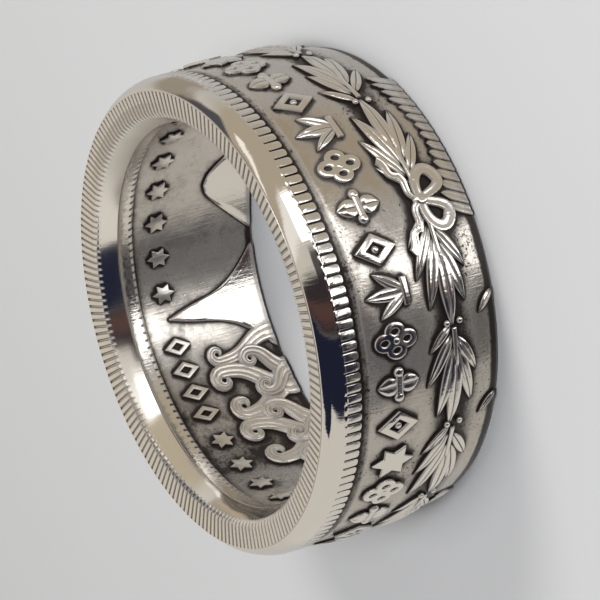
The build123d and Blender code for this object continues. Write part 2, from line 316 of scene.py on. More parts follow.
def reedCutter():
    # a groove across the milled face that runs out on the rounding inside it
    e = edgeWork
    outerR = bandShape["faceOuterR"]
    surface = rollProfile() + [(outerR - 0.01, 0.0)]
    stations = [bandShape["faceInnerR"] + out for out in e["reedStations"]] + [outerR - 0.02]
    bm = bmesh.new()
    bmesh.ops.create_cube(bm, size=1.0)
    long = [edge for edge in bm.edges if abs(edge.verts[0].co.x - edge.verts[1].co.x) > 0.5]
    bmesh.ops.subdivide_edges(bm, edges=long, cuts=len(stations) - 2, use_grid_fill=True)
    step = 0.01
    for v in bm.verts:
        k = round((v.co.x + 0.5) * (len(stations) - 1))
        r = stations[k]
        drop, further = between(r, surface), between(r + step, surface)
        length = math.hypot(step, further - drop)
        across, down = (drop - further) / length, step / length
        top = v.co.z > 0
        sink = -e["reedClear"] if top else e["reedDepth"] * min(1.0, e["reedFirst"] + e["reedDeepens"] * k)
        half = math.copysign(e["reedMouth"] * e["reedFlare"] if top else e["reedFloor"], v.co.y) / 2
        v.co = Vector((r + sink * across, half, bandShape["width"] - drop - sink * down)) * mm
    return closedMesh(bm, "reed")


def turnedCopies(template, count):
    bm = bmesh.new()
    for i in range(count):
        bmesh.ops.rotate(bm, verts=addedTo(bm, template), cent=(0, 0, 0),
                         matrix=Matrix.Rotation(2 * math.pi * i / count, 3, "Z"))
    return meshOf(bm, template.name + "s")


def dentilTemplate():
    # one dentil: a block whose lower end is round and whose top edge is eased
    e = edgeWork
    half = e["dentilWidth"] / 2
    bm = bmesh.new()
    bmesh.ops.create_cube(bm, size=1.0)
    for v in bm.verts:
        depth = e["dentilTop"] if v.co.y > 0 else e["dentilEnd"]
        z = e["dentilHigh"] if v.co.z > 0 else -e["dentilRoot"]
        v.co = Vector((math.copysign(half, v.co.x), -depth, z))
    corners = [edge for edge in bm.edges if all(abs(v.co.y + e["dentilEnd"]) < 1e-5 for v in edge.verts)
               and abs(edge.verts[0].co.z - edge.verts[1].co.z) > 0.1]
    bmesh.ops.bevel(bm, geom=corners, offset=e["dentilCorner"] * half, segments=3, profile=0.5,
                    affect="EDGES", material=-1)
    bmesh.ops.recalc_face_normals(bm, faces=bm.faces)
    bevelRim(bm, e["dentilHigh"], e["dentilEase"])
    for v in bm.verts:
        # the dentils stand as high as the rim beside them and rise a little towards the field
        d = -v.co.y
        top = bandShape["rimR"] + e["dentilRise"] * (d - bandShape["rimDepth"])
        v.co.z = top - fieldRadius(d) - (e["dentilHigh"] - v.co.z)
    return meshOf(bm, "dentil")


def notchCutter():
    # the gap between two dentils of the inner row
    e = edgeWork
    bm = bmesh.new()
    bmesh.ops.create_cube(bm, size=1.0)
    for v in bm.verts:
        end = e["notchTop"] if v.co.z > 0 else e["notchFoot"]
        inside = v.co.x < 0
        r = e["notchInnerR"] if inside else end["wallR"]
        half = math.copysign(e["notchInnerWidth"] if inside else e["notchWallWidth"], v.co.y) / 2
        v.co = Vector((r, half, bandShape["width"] - end["depth"])) * mm
    return closedMesh(bm, "notch")


print("ornaments")

# Row of ornaments outside, in mm. The parts of an ornament are shares of the row's height
ornamentRow = {
    "depth": 4.1,
    "height": 2.35,
    "relief": 0.22,
    "root": 0.12,
    "ease": 0.05,
    "slots": 36,
    "starEvery": 12,
    "starAngle": -136.0,
    "starHeight": 2.45,
    "starWidth": 1.75,
    "starWaist": 0.56,
    # leaves and some studs stand this much higher than the rest
    "swell": 1.15,
    "palmette": {
        # length, width, tilt, x, y and curve
        "leaves": (
            (0.96, 0.30, 90, 0.0, -0.44, 0.0),
            (0.80, 0.25, 64, 0.05, -0.42, -0.12),
            (0.80, 0.25, 116, -0.05, -0.42, 0.12),
        ),
        "bar": {"width": 0.60, "height": 0.14, "y": -0.43},
    },
    "lozenge": {"width": 0.70, "band": 0.15, "studR": 0.08},
    "doubleLeaf": {"length": 0.52, "width": 0.42, "barWidth": 0.54, "barHeight": 0.15, "studR": 0.12,
                   "studX": 0.28},
    "quatrefoil": {"width": 0.40, "height": 0.48, "band": 0.13, "x": 0.2, "y": 0.27, "studR": 0.1},
}


def starTemplate(width, height, waist, relief, root, ease):
    # a star of six points, one of them straight up
    bm = bmesh.new()
    bmesh.ops.create_circle(bm, cap_ends=True, segments=12, radius=0.5)
    bm.verts.ensure_lookup_table()
    across = width / math.cos(math.radians(30))
    for i, v in enumerate(sorted(bm.verts, key=lambda p: math.atan2(p.co.y, p.co.x))):
        a = math.radians(30 * (i - 5))
        reach = 0.5 if i % 2 == 0 else 0.5 * waist
        v.co = Vector((across * reach * math.cos(a), height * reach * math.sin(a), 0))
    slabFrom(bm, -root, relief)
    bevelRim(bm, relief, ease)
    return meshOf(bm, "star")


# A leaf: its steps across, how it swells and how it rises along its length, as shares
leafForm = {
    "across": 10,
    "stub": 0.05,
    "shoulder": 0.8,
    "fullness": 0.8,
    "footRise": 0.4,
    "tipRise": 0.3,
    "riseRate": 2.4,
    # height over half its section, from the vein over the ridge to the edge
    "section": ((0.0, 0.36), (0.09, 0.84), (0.4, 1.0), (0.7, 0.95), (0.9, 0.8), (1.0, 0.3)),
    # where the grid's lines lie on that half, close together at the vein and the edge
    "stations": ((0.0, 0.0), (0.2, 0.09), (0.4, 0.4), (0.6, 0.7), (0.8, 0.9), (1.0, 1.0)),
}


def doubledGrid(bm, along, across):
    # a closed slab whose top is a grid; gives the vertices of its top
    bmesh.ops.create_grid(bm, x_segments=along, y_segments=across, size=0.5)
    grown = bmesh.ops.extrude_face_region(bm, geom=bm.faces[:])
    return set(g for g in grown["geom"] if isinstance(g, bmesh.types.BMVert))


def leafBody(length, width, relief, root, steps=10, curve=0.0, tilt=0.0, start=(0, 0)):
    # a pointed leaf with a vein down its middle
    f = leafForm
    bm = bmesh.new()
    top = doubledGrid(bm, steps, f["across"])
    turn = math.radians(tilt)
    for v in bm.verts:
        t = v.co.x + 0.5
        side = math.copysign(between(abs(v.co.y * 2), f["stations"]), v.co.y)
        swell = abs(math.sin(math.pi * min(1.0, t) ** f["shoulder"])) ** f["fullness"]
        half = 0.5 * width * (f["stub"] + (1 - f["stub"]) * swell)
        x = length * t
        y = side * half + curve * length * t * t
        rise = min(1.0, f["footRise"] + f["riseRate"] * t, f["tipRise"] + f["riseRate"] * (1 - t))
        z = relief * between(abs(side), f["section"]) * rise if v in top else -root
        v.co = Vector((start[0] + x * math.cos(turn) - y * math.sin(turn),
                       start[1] + x * math.sin(turn) + y * math.cos(turn), z))
    return closedMesh(bm, "leaf")


def barBody(width, height, relief, root, centre=(0, 0), turn=0.0, ease=0.05):
    bm = bmesh.new()
    bmesh.ops.create_grid(bm, x_segments=1, y_segments=1, size=0.5)
    bmesh.ops.scale(bm, verts=bm.verts, vec=(width, height, 1))
    bmesh.ops.rotate(bm, verts=bm.verts, cent=(0, 0, 0), matrix=Matrix.Rotation(math.radians(turn), 3, "Z"))
    bmesh.ops.translate(bm, verts=bm.verts, vec=(*centre, 0))
    slabFrom(bm, -root, relief)
    bevelRim(bm, relief, ease)
    return meshOf(bm, "bar")


def studBody(radius, relief, root, centre=(0, 0), segments=10):
    # a low round stud, for berries and the hearts of ornaments
    bm = bmesh.new()
    bmesh.ops.create_circle(bm, cap_ends=True, segments=segments, radius=radius)
    bmesh.ops.translate(bm, verts=bm.verts, vec=(*centre, 0))
    slabFrom(bm, -root, relief)
    bevelRim(bm, relief, 0.6 * radius, 3)
    return meshOf(bm, "stud")


def ringBody(width, height, band, relief, root, segments=24, centre=(0, 0), ease=0.05):
    # an open oval, or an open lozenge when it has four segments
    bm = bmesh.new()
    bmesh.ops.create_circle(bm, cap_ends=True, segments=segments, radius=0.5)
    bmesh.ops.scale(bm, verts=bm.verts, vec=(width, height, 1))
    bmesh.ops.translate(bm, verts=bm.verts, vec=(*centre, 0))
    middle = bm.faces[:]
    bmesh.ops.inset_region(bm, faces=middle, thickness=band, use_even_offset=True, use_boundary=True)
    bmesh.ops.delete(bm, geom=middle, context="FACES")
    slabFrom(bm, -root, relief)
    bevelRim(bm, relief, ease)
    return meshOf(bm, "ring")


def ornamentTemplates():
    row = ornamentRow
    h, relief, root, ease = row["height"], row["relief"], row["root"], row["ease"]
    high = row["swell"] * relief
    p, z, d, q = row["palmette"], row["lozenge"], row["doubleLeaf"], row["quatrefoil"]
    bar = p["bar"]
    palmette = [leafBody(length * h, width * h, high, root, 9, curve, tilt, (x * h, y * h))
                for length, width, tilt, x, y, curve in p["leaves"]]
    palmette.append(barBody(bar["width"] * h, bar["height"] * h, relief, root, (0, bar["y"] * h), ease=ease))
    lozenge = [ringBody(z["width"] * h, h, z["band"] * h, relief, root, 4, ease=ease),
               studBody(z["studR"] * h, relief, root)]
    doubleLeaf = [leafBody(d["length"] * h, d["width"] * h, high, root, 9, 0.0, tilt) for tilt in (90, -90)]
    doubleLeaf.append(barBody(d["barWidth"] * h, d["barHeight"] * h, relief, root, ease=ease))
    doubleLeaf += [studBody(d["studR"] * h, high, root, (side * d["studX"] * h, 0)) for side in (1, -1)]
    quatrefoil = [ringBody(q["width"] * h, q["height"] * h, q["band"] * h, relief, root, 16, (x * h, y * h),
                           ease) for x, y in ((0, q["y"]), (0, -q["y"]), (q["x"], 0), (-q["x"], 0))]
    quatrefoil.append(studBody(q["studR"] * h, high, root))
    made = []
    for name, parts in (("palmette", palmette), ("lozenge", lozenge), ("doubleLeaf", doubleLeaf),
                        ("quatrefoil", quatrefoil)):
        mesh = booleaned(parts[0], parts[1:], "UNION")
        mesh.name = name
        made.append(mesh)
    return made


def ornamentMeshes():
    row = ornamentRow
    kinds = ornamentTemplates()
    star = starTemplate(row["starWidth"], row["starHeight"], row["starWaist"], row["relief"], row["root"],
                        row["ease"])
    places = [[] for kind in kinds]
    starPlaces = []
    for slot in range(row["slots"]):
        place = (row["starAngle"] + 360 / row["slots"] * slot, row["depth"])
        if slot % row["starEvery"] == 0:
            starPlaces.append(place)
        else:
            places[slot % len(kinds)].append(place)
    return [scattered(kind, where, onOutside) for kind, where in zip(kinds + [star], places + [starPlaces])]


print("wreath")

# Two runs of sprays from the knot, in mm and degrees
wreath = {
    "depth": 7.6,
    "knotAngle": -78.0,
    "pitch": 24.5,
    "count": 7,
    "length": 5.4,
    "relief": 0.29,
    "root": 0.12,
    # how far the leaves of a spray vary: degrees of tilt and share of length
    "shakeTilt": 4,
    "shakeLength": 0.08,
    # the berries: how high they stand, how far before a spray, as a share of the pitch, and beside its stem
    "berryR": 0.17,
    "berryHigh": 0.9,
    "berryBefore": 0.07,
    "berryBeside": 0.4,
    # the first spray stands this share of the pitch from the knot
    "firstPitch": 0.2,
    # the stem, as shares of the spray's length, and high of the relief
    "stem": {"length": 0.36, "width": 0.045, "middle": 0.16, "high": 0.8, "ease": 0.06},
    # leaves: start along the stem and off it, length, width, tilt, curve and high
    "leaves": (
        (0.26, 0.00, 0.76, 0.165, 2, -0.02, 1.0),
        (0.15, 0.02, 0.68, 0.145, 18, 0.0, 0.86),
        (0.03, 0.02, 0.56, 0.12, 34, -0.04, 0.74),
        (-0.06, 0.02, 0.38, 0.09, 52, -0.08, 0.64),
        (0.20, -0.02, 0.62, 0.145, -15, 0.0, 0.86),
        (0.07, -0.02, 0.48, 0.115, -32, 0.05, 0.74),
    ),
}


def sprayTemplate(turn, shake):
    w = wreath
    unit = w["length"]
    parts = []
    for start, off, length, width, tilt, curve, high in w["leaves"]:
        tilt += shake * random.uniform(-w["shakeTilt"], w["shakeTilt"])
        length *= unit * (1 + shake * random.uniform(-w["shakeLength"], w["shakeLength"]))
        if turn < 0:
            tilt, curve = 180 - tilt, -curve
        parts.append(leafBody(length, width * unit, high * w["relief"], w["root"], 12, curve, tilt,
                              (turn * start * unit, off * unit)))
    stem = w["stem"]
    parts.append(barBody(stem["length"] * unit, stem["width"] * unit, stem["high"] * w["relief"], w["root"],
                         (turn * stem["middle"] * unit, 0), ease=stem["ease"]))
    mesh = booleaned(parts[0], parts[1:], "UNION")
    mesh.name = "spray"
    return mesh


def wreathMeshes():
    w = wreath
    berry = studBody(w["berryR"], w["berryHigh"] * w["relief"], w["root"])
    even, odd, berries = [], [], []
    for turn in (1, -1):
        for i in range(w["count"]):
            angle = w["knotAngle"] + turn * w["pitch"] * (w["firstPitch"] + i)
            spray = sprayTemplate(turn, 0 if i == 0 else 1)
            (even if i % 2 == 0 else odd).append(scattered(spray, [(angle, w["depth"])], onOutside))
            if i > 0:
                for side in (1, -1):
                    before = turn * w["berryBefore"] * w["pitch"]
                    berries.append((angle - before, w["depth"] + side * w["berryBeside"]))
    return even + odd + [scattered(berry, berries, onOutside)]


def bezier(points, t):
    # a point of the cubic curve through four control points
    share = ((1 - t) ** 3, 3 * t * (1 - t) ** 2, 3 * t * t * (1 - t), t ** 3)
    return tuple(sum(a * p[axis] for a, p in zip(share, points)) for axis in (0, 1))


def ribbonBody(line, halfWidth, section, relief, root, along, across):
    # a ribbon whose middle is line(t) and whose section is a table of half its width, t being 0 to 1
    bm = bmesh.new()
    top = doubledGrid(bm, along, across)
    for v in bm.verts:
        t, side = v.co.x + 0.5, v.co.y * 2
        x, y = line(t)
        ax, ay = line(min(1.0, t + 0.01))
        bx, by = line(max(0.0, t - 0.01))
        reach = side * halfWidth(t) / math.hypot(ax - bx, ay - by)
        z = relief * between(abs(side), section) if v in top else -root
        v.co = Vector((x - (ay - by) * reach, y + (ax - bx) * reach, z))
    return closedMesh(bm, "ribbon")


# The ribbon bow at the knot, in mm: each run is a cubic curve on one side, with its width at both ends
bow = {
    "relief": 0.25,
    "root": 0.12,
    "tieWidth": 0.74,
    "tieHeight": 0.98,
    "tieHigh": 1.25,
    "runs": (
        {"points": ((0.05, 0.0), (1.3, 0.25), (2.1, -0.95), (1.05, -1.4)), "from": 0.55, "to": 0.74},
        {"points": ((1.05, -1.4), (0.5, -1.65), (0.35, -1.0), (0.1, -0.2)), "from": 0.74, "to": 0.45},
        {"points": ((0.05, 0.1), (0.4, 1.0), (1.0, 0.25), (1.5, 0.75)), "from": 0.30, "to": 0.46},
        {"points": ((1.4, 0.65), (1.5, 1.5), (2.1, 0.9), (2.5, 1.45)), "from": 0.40, "to": 0.52},
    ),
    "section": ((0.0, 0.86), (0.3, 0.9), (0.65, 1.0), (0.87, 0.92), (1.0, 0.4)),
}


def bowMeshes():
    b = bow
    tie = studBody(0.5 * b["tieWidth"], b["tieHigh"] * b["relief"], b["root"], segments=12)
    tie.transform(Matrix.Diagonal((1, b["tieHeight"] / b["tieWidth"], 1, 1)))
    ribbons = []
    for side in (1, -1):
        for run in b["runs"]:
            points = [(side * x, y) for x, y in run["points"]]
            wide, end = run["from"] / 2, run["to"] / 2
            ribbons.append(ribbonBody(lambda t: bezier(points, t), lambda t: wide + (end - wide) * t,
                                      b["section"], b["relief"], b["root"], 12, 10))
    knot = booleaned(tie, ribbons, "UNION")
    knot.name = "bow"
    return [scattered(knot, [(wreath["knotAngle"], wreath["depth"])], onOutside)]


# Petals and leaf tips that stand up from the punched end, in mm and degrees
edgeRow = {
    "height": 1.35,
    "width": 0.66,
    "lean": 0.42,
    "pitch": 2.7,
    "count": 15,
    "centres": (-64.0, 56.0, 176.0),
    "relief": 0.16,
    "root": 0.12,
    "tipLength": 1.5,
    "tipWidth": 0.42,
    "tipTilt": 128.0,
    "tipAngles": (-126.0, -101.0, -6.0, 19.0, 114.0, 139.0),
    "tipHigh": 1.2,
    "tipCurve": 0.1,
    # the petals sit this far past the bevel of the punched end
    "sunk": 0.05,
    # heights of a group's petals, as shares: the middle, how far the ends rise, every second one
    "shares": (0.8, 0.22, 0.05),
    # height over half a petal's section
    "section": ((0.0, 0.82), (0.25, 1.0), (0.5, 1.0), (0.75, 0.92), (1.0, 0.3)),
    # from this share of its height a petal narrows to its point, by this power
    "narrowsFrom": 0.55,
    "narrowing": 2.4,
    "point": 0.06,
    # how much lower a petal is on its far side and at its point
    "slopeAcross": 0.25,
    "slopeUp": 0.2,
}


def petalTemplate(height):
    # a long petal that leans, with a rounded point and a fine vein down its middle
    e = edgeRow
    bm = bmesh.new()
    top = doubledGrid(bm, 8, 10)
    for v in bm.verts:
        s, t = v.co.x * 2, v.co.y + 0.5
        past = max(0.0, (t - e["narrowsFrom"]) / (1 - e["narrowsFrom"]))
        half = 0.5 * e["width"] * max(e["point"], 1 - past ** e["narrowing"])
        slope = 1 - e["slopeAcross"] * s - e["slopeUp"] * t
        z = e["relief"] * between(abs(s), e["section"]) * slope if v in top else -e["root"]
        v.co = Vector((s * half + e["lean"] * t * height, t * height, z))
    return closedMesh(bm, "petal")


def edgeMeshes():
    e = edgeRow
    depth = bandShape["width"] - bandShape["footBevel"] + e["sunk"]
    middle, rise, second = e["shares"]
    bm = bmesh.new()
    for i in range(e["count"]):
        share = middle + rise * math.cos(2 * math.pi * i / (e["count"] - 1)) + second * (i % 2)
        petal = petalTemplate(e["height"] * share)
        for centre in e["centres"]:
            onOutside(addedTo(bm, petal), centre + e["pitch"] * (i - (e["count"] - 1) / 2), depth)
    petals = meshOf(bm, "petals")
    tip = leafBody(e["tipLength"], e["tipWidth"], e["tipHigh"] * e["relief"], e["root"], 8, e["tipCurve"],
                   e["tipTilt"])
    return [petals, scattered(tip, [(a, depth) for a in e["tipAngles"]], onOutside)]


print("inside relief")

# Relief inside, in mm and degrees
insideRow = {
    "depth": 4.05,
    "relief": 0.17,
    "root": 0.12,
    "starHeight": 1.5,
    "starWidth": 1.05,
    "starWaist": 0.56,
    "ease": 0.04,
    # first angle, last angle and count
    "starRuns": ((23.0, 79.0, 6), (128.5, 372.0, 23)),
    "lozengeRun": (95.5, 118.0, 4),
    "lozengeHeight": 1.75,
    "lozengeWidth": 1.05,
    "lozengeBand": 0.24,
}


def runPlaces(run, depth):
    first, last, count = run
    return [(angle, depth) for angle in evenly(first, last, count - 1)]


def insideRowMeshes():
    r = insideRow
    star = starTemplate(r["starWidth"], r["starHeight"], r["starWaist"], r["relief"], r["root"], r["ease"])
    lozenge = ringBody(r["lozengeWidth"], r["lozengeHeight"], r["lozengeBand"], r["relief"], r["root"], 4,
                       ease=r["ease"])
    stars = [place for run in r["starRuns"] for place in runPlaces(run, r["depth"])]
    lozenges = runPlaces(r["lozengeRun"], r["depth"])
    return [scattered(star, stars, onInside), scattered(lozenge, lozenges, onInside)]


# Smooth pointed shields inside, in mm and degrees. round is 0 for hollow sides and a sharp tip, and 1 for a
# full round one
ogee = {
    "shields": (
        {"angle": 87.0, "height": 6.3, "half": 3.3, "round": 0.0},
        {"angle": 48.0, "height": 3.2, "half": 3.6, "round": 1.0},
    ),
    "relief": 0.17,
    "root": 0.1,
    "sunk": 0.02,
    # half width over the height, as powers of what is left of it and how hollow it is
    "sharpPower": 1.15,
    "sharpHollow": 0.45,
    "roundPower": 0.5,
    "roundHollow": 0.35,
    "tip": 0.02,
    # the rounding along the edge, and how high it starts, as a share of the relief
    "edge": 0.12,
    "edgeHigh": 0.35,
}


def ogeeBody(height, half, rounded):
    o = ogee
    bm = bmesh.new()
    top = doubledGrid(bm, 16, 20)
    for v in bm.verts:
        s, t = v.co.x * 2, v.co.y + 0.5
        sharp = (1 - t) ** o["sharpPower"] * (1 - o["sharpHollow"] * math.sin(math.pi * t))
        full = (1 - t) ** o["roundPower"] * (1 - o["roundHollow"] * t)
        wide = half * (o["tip"] + (1 - o["tip"]) * ((1 - rounded) * sharp + rounded * full))
        edge = min(1.0, (1 - abs(s)) * wide / o["edge"])
        rise = o["edgeHigh"] + (1 - o["edgeHigh"]) * math.sqrt(edge)
        v.co = Vector((s * wide, t * height, o["relief"] * rise if v in top else -o["root"]))
    return closedMesh(bm, "ogee")


def ogeeMeshes():
    low = bandShape["width"] - bandShape["footBevel"] - ogee["sunk"]
    return [scattered(ogeeBody(shield["height"], shield["half"], shield["round"]), [(shield["angle"], low)],
                      onInside) for shield in ogee["shields"]]


# The scroll inside, in mm and degrees. Each lock is a ribbed ribbon that grows from the punched end and curls
# in at its head
scroll = {
    "root": 0.1,
    # share of a lock that is its stem, then how far it curls, in half turns, and draws in, as a share
    "stem": 0.5,
    "turns": 1.7,
    "drawsIn": 0.62,
    # how far above the punched end the stem starts, and the shares of its height where it bends
    "footGap": 0.3,
    "bends": (0.5, 0.6),
    # width of the ribbon as a share of the lock's size: at the foot, how much it loses, and its blunt end
    "ribbon": 1.42,
    "footWidth": 1.8,
    "narrows": 1.35,
    "endWidth": 0.35,
    "endRate": 5,
    # locks: angle, depth and size of the head, the way it turns, angle of the foot, how far it stands out
    "locks": (
        (101.0, 6.3, 0.46, -1, 98.0, 0.20),
        (109.5, 6.1, 0.58, 1, 116.0, 0.24),
        (119.0, 6.5, 0.62, -1, 115.0, 0.21),
        (129.0, 6.2, 0.60, 1, 136.0, 0.25),
        (139.0, 6.6, 0.62, -1, 135.0, 0.22),
        (105.0, 8.2, 0.48, 1, 110.0, 0.30),
        (114.5, 8.5, 0.50, -1, 111.0, 0.33),
        (124.0, 8.1, 0.54, 1, 130.0, 0.31),
        (134.0, 8.5, 0.50, -1, 130.5, 0.34),
        (144.5, 8.2, 0.54, 1, 150.0, 0.31),
    ),
    # height over half its section, which has a groove a third of the way out and one near the edge
    "section": ((0.0, 1.0), (0.167, 0.99), (0.333, 0.8), (0.5, 0.93), (0.667, 0.95), (0.833, 0.78),
                (1.0, 0.25)),
}


def lockBody(angle, depth, size, turn, footAngle, relief):
    c = scroll
    stem = c["stem"]
    height = bandShape["width"] - c["footGap"] - depth
    foot = math.radians(angle - footAngle) * innerRadius(depth)
    low, high = c["bends"]
    stemPoints = ((foot, -height), (foot, -low * height), (turn * size, -high * height), (turn * size, 0))

    def line(t):
        if t < stem:
            return bezier(stemPoints, t / stem)
        u = (t - stem) / (1 - stem)
        a = c["turns"] * math.pi * u
        r = size * (1 - c["drawsIn"] * u)
        return turn * r * math.cos(a), r * math.sin(a)

    def halfWidth(t):
        blunt = min(1.0, c["endWidth"] + c["endRate"] * (1 - t))
        return 0.5 * c["ribbon"] * size * (c["footWidth"] - c["narrows"] * t) * blunt

    return ribbonBody(line, halfWidth, c["section"], relief, c["root"], 26, 12)


def scrollMeshes():
    return [scattered(lockBody(*lock), [lock[:2]], onInside) for lock in scroll["locks"]]


def ringMesh():
    print("joining the relief to the band")
    raised = ornamentMeshes() + wreathMeshes() + bowMeshes() + edgeMeshes()
    raised += insideRowMeshes() + ogeeMeshes() + scrollMeshes()
    reeds, dentils = edgeWork["reedCount"], edgeWork["dentilCount"]
    dentil = dentilTemplate()
    raised.append(scattered(dentil, [(360 * (i + 0.5) / dentils, 0.0) for i in range(dentils)], onOutside))
    whole = booleaned(bandMesh(), raised, "UNION")
    cuts = [turnedCopies(reedCutter(), reeds), turnedCopies(notchCutter(), dentils)]
    return booleaned(whole, cuts, "DIFFERENCE")


ringBand = objectOf(ringMesh(), "ringBand")
ringBand.data.shade_smooth()
ringBand.data.set_sharp_from_angle(angle=math.radians(32))
flatTops = ringBand.modifiers.new("flatTops", "WEIGHTED_NORMAL")
flatTops.keep_sharp = True
triangles = sum(len(p.vertices) - 2 for p in ringBand.data.polygons)
print("ring", len(ringBand.data.vertices), "vertices,", triangles, "triangles")


class Wire:
    # wraps a shader socket so that sums, products and the like make Math nodes
    def __init__(self, tree, socket):
        self.tree = tree
        self.socket = socket

    def beside(self, output):
        # another output of the same node
        return Wire(self.tree, self.socket.node.outputs[output])

    def math(self, operation, *values):
        node = self.tree.nodes.new("ShaderNodeMath")
        node.operation = operation
        for slot, value in zip(node.inputs, (self,) + values):
            if isinstance(value, Wire):
                self.tree.links.new(value.socket, slot)
            else:
                slot.default_value = value
        return Wire(self.tree, node.outputs[0])

    def flipped(self, operation, value):
        node = self.tree.nodes.new("ShaderNodeMath")
        node.operation = operation
        node.inputs[0].default_value = value
        self.tree.links.new(self.socket, node.inputs[1])
        return Wire(self.tree, node.outputs[0])

    def __add__(self, other):
        return self.math("ADD", other)

    __radd__ = __add__

    def __sub__(self, other):
        return self.math("SUBTRACT", other)

    def __rsub__(self, other):
        return self.flipped("SUBTRACT", other)

    def __mul__(self, other):
        return self.math("MULTIPLY", other)

    __rmul__ = __mul__

    def __truediv__(self, other):
        return self.math("DIVIDE", other)

    def __pow__(self, other):
        return self.math("POWER", other)

    def clamp(self):
        return self.math("MAXIMUM", 0.0).math("MINIMUM", 1.0)

    def ramp(self, low, high):
        # 0 at low, 1 at high, eased; low may be the larger
        share = ((self - low) / (high - low)).clamp()
        return share * share * (3 - 2 * share)


class Sheet:
    # a node tree with one way to add any node
    def __init__(self, tree):
        self.tree = tree
        tree.nodes.clear()

    def add(self, kind, settings=None, output=0, **inputs):
        node = self.tree.nodes.new(kind)
        for name, value in (settings or {}).items():
            setattr(node, name, value)
        for name, value in inputs.items():
            # i6 is the input of that number, and Base_Color the one of that name
            slot = node.inputs[int(name[1:]) if name[1:].isdigit() else name.replace("_", " ")]
            if isinstance(value, Wire):
                self.tree.links.new(value.socket, slot)
            else:
                slot.default_value = value
        return Wire(self.tree, node.outputs[output])

    def noise(self, place, settings):
        scale, detail, roughness = settings
        return self.add("ShaderNodeTexNoise", Vector=place, Scale=scale, Detail=detail, Roughness=roughness)

    def mixColour(self, share, first, second):
        return self.add("ShaderNodeMix", {"data_type": "RGBA"}, 2, i0=share, i6=first, i7=second)


def blended(share, none, full):
    return full * share + none * (1 - share)


print("silver")

# Where one part of the surface passes into the next, in mm
zones = {
    "outsideR": (11.7, 11.9),
    "raisedOutside": (0.06, 0.15),
    "raisedInside": (0.05, 0.12),
    "rimDepth": (1.12, 1.2),
    "rollDepth": (1.3, 1.36),
    "dentilDepth": (2.0, 2.2),
    "shieldDepth": (4.9, 5.1),
    "footHeight": (0.12, 0.3),
    "faceDepth": (0.0, 0.12),
}

# Old coin silver, colours linear and lengths in metres
silverFinish = {
    "metal": (0.80, 0.765, 0.715, 1),
    "rollMetal": (0.93, 0.895, 0.84, 1),
    "faceMetal": (0.86, 0.80, 0.705, 1),
    "fieldMetal": (0.60, 0.555, 0.50, 1),
    "fieldShare": 0.85,
    "insideMetal": (0.63, 0.59, 0.54, 1),
    # colour of the tarnish, also used for the painted shade outside
    "patinaAndShade": (0.014, 0.0105, 0.009, 1),
    "patinaDulls": 0.5,
    # scale, detail and roughness of each noise
    "broad": (260.0, 4.0, 0.6),
    "fine": (2200.0, 5.0, 0.65),
    "grain": (8000.0, 2.0, 0.5),
    "brushed": (7000.0, 3.0, 0.6),
    "wave": (380.0, 1.0, 0.5),
    # the brush marks run round at this radius in mm, and are drawn out across and through the band
    "brushR": 13.0,
    "brushAcross": 0.08,
    "brushThrough": 0.2,
    "polishRough": 0.06,
    "rollRough": 0.14,
    "reliefRough": 0.16,
    "insideReliefRough": 0.2,
    "faceRough": 0.20,
    "fieldRough": 0.15,
    "insideRough": 0.22,
    "patinaRough": 0.42,
    "scuffRough": 0.42,
    "shieldPolish": 0.25,
    # how much the noises vary the roughness
    "broadRough": 0.2,
    "fineRough": 0.14,
    "fineCalm": 0.8,
    # shares of the noises in the bump, how far polish calms it, and its strength
    "bumpFine": 0.6,
    "bumpBroad": 0.3,
    "bumpBrushed": 0.7,
    "bumpWave": 7.0,
    "bumpCalm": 0.78,
    "bumpStrength": 0.24,
    "bumpDistance": 0.00006,
    # the smooth shields inside: angle of their middle and half width in degrees
    "shields": (68.0, 40.0),
    # the stretch of the inner rounding that is scuffed: angle of its middle and half width in degrees
    "scuff": (12.0, 40.0),
}

# Tarnish and painted shade: the ranges of noise or hollowness that tarnish comes up over, how dark it gets,
# and one stretch of the outside darkened as painted shade
tarnishAndShade = {
    "cavityReach": 0.0007,
    "mottleBroad": 0.6,
    "mottleFrom": (0.46, 0.72),
    "mottleDark": 0.3,
    "speckGrain": 0.7,
    "speckFrom": (0.57, 0.66),
    "speckInside": 0.15,
    "speckOutside": 0.65,
    "haloRagged": 0.16,
    "haloFrom": (0.02, 0.14),
    "haloDark": 0.92,
    "haloSparesRaised": 0.4,
    "reedFrom": (0.06, 0.26),
    "reedDark": 0.9,
    "gapDark": 0.8,
    "insideDark": 0.12,
    # how dark bands and stains are: at least, and what mottle and grain add
    "bandLeast": 0.3,
    "bandMottle": 0.9,
    "bandGrain": 0.5,
    # bands round the outside: depth of the middle, half width, both in mm, and strength
    "bands": ((2.2, 0.42, 0.6), (7.6, 1.75, 0.75), (10.3, 0.4, 0.2)),
    # the share of a band's half width that has its full strength
    "bandFull": 0.35,
    # painted shade outside and stains inside: angle of the middle, half width, both in degrees, and strength
    # painted shade: a darker stretch of the outside field round this bearing, standing in for shade
    "outerPaintedShade": ((-130.0, 55.0, 0.24),),
    "innerStains": ((126.0, 34.0, 0.48), (146.0, 24.0, 0.32), (74.0, 10.0, 0.3)),
}


def turnedFrom(bearing, middle, half):
    # 1 near a bearing in degrees, and 0 from half degrees away
    away = ((bearing - middle + 540).math("MODULO", 360.0) - 180).math("ABSOLUTE")
    return 1 - away.ramp(0.3 * half, half)


